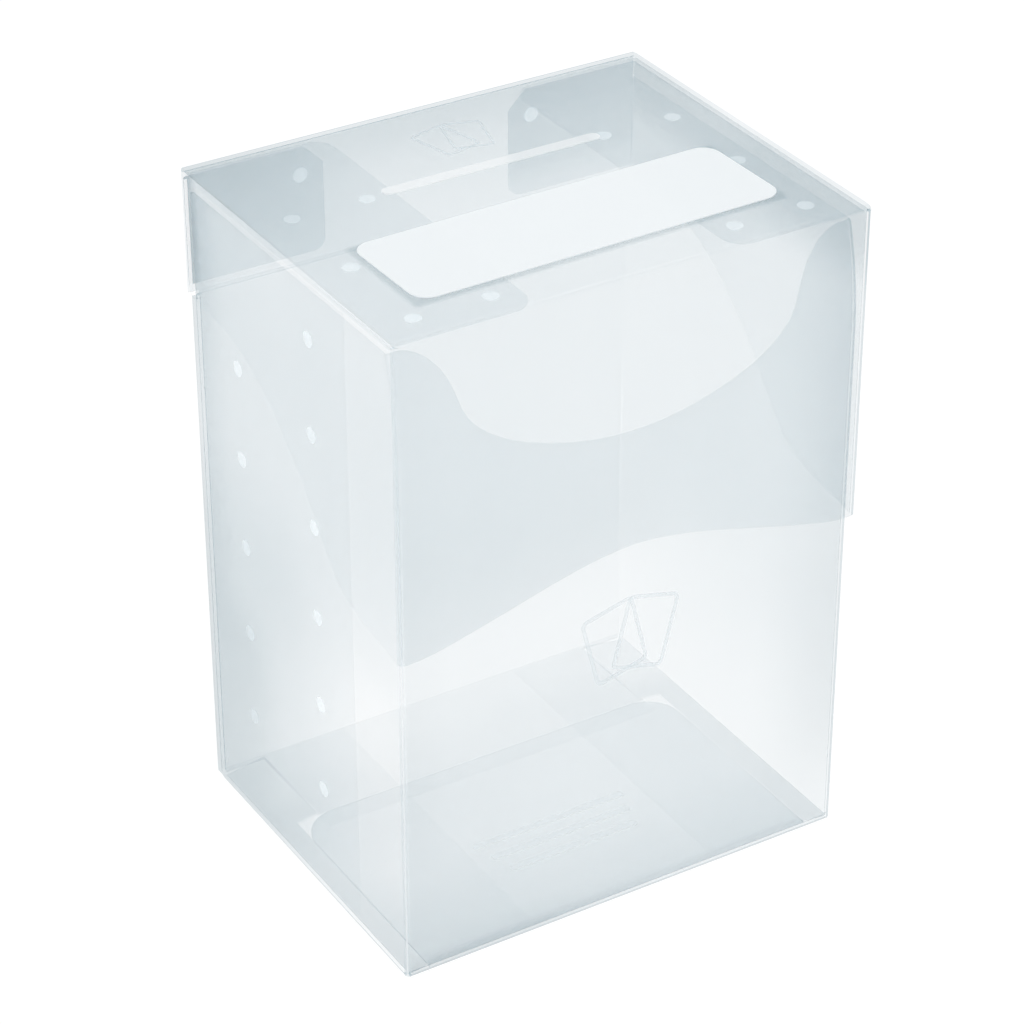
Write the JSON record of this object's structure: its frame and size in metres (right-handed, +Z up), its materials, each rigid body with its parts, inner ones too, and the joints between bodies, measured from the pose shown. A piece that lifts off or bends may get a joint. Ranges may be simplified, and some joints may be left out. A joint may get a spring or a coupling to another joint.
{
  "type": "card deck box",
  "caption": "Frosted clear folded plastic deck box for playing cards, with a flip lid on a living hinge, a thumb cut-out in the front wall and a blank title label.",
  "frame": {"origin": "centre of the footprint on the table, at the level the box stands on", "axes": "+Z up, -Y out of the front flap with the notch, +X to the right of someone looking at the front"},
  "size_m": [0.0712, 0.0568, 0.0985],
  "materials": {
    "clear_sheet": "frosted clear polypropylene sheet, fine matt grain",
    "fold_line": "stress-whitened crease and weld spots of the same sheet",
    "label_film": "satin white self-adhesive film"
  },
  "bodies": {
    "body": {"front_wall": "clear_sheet", "right_side_wall": "clear_sheet", "back_wall": "clear_sheet", "left_side_wall": "clear_sheet", "seam_flap": "clear_sheet", "front_left_fold": "fold_line", "front_right_fold": "fold_line", "back_left_fold": "fold_line", "back_right_fold": "fold_line", "bottom_panel": "clear_sheet", "bottom_back_flap": "clear_sheet", "bottom_left_flap": "clear_sheet", "bottom_right_flap": "clear_sheet", "seam_welds": "fold_line", "lid_hinge_crease": "fold_line"},
    "lid": {"lid_back_strip": "clear_sheet", "lid_back_fold": "fold_line", "lid_top_panel": "clear_sheet", "lid_front_fold": "fold_line", "lid_front_flap": "clear_sheet", "lid_front_left_fold": "fold_line", "lid_front_right_fold": "fold_line", "lid_left_flap": "clear_sheet", "lid_right_flap": "clear_sheet", "lid_top_tab_left": "clear_sheet", "lid_top_tab_right": "clear_sheet", "lid_back_tab_left": "clear_sheet", "lid_back_tab_right": "clear_sheet", "lid_top_welds": "fold_line", "lid_back_welds": "fold_line", "title_label": "label_film"}
  },
  "joints": [
    {"name": "lid_hinge", "type": "hinge", "parent": "body", "child": "lid", "pos_m": [0, 0.02845, 0.0794], "axis": [-1, 0, 0], "range_deg": [0, 170]}
  ]
}
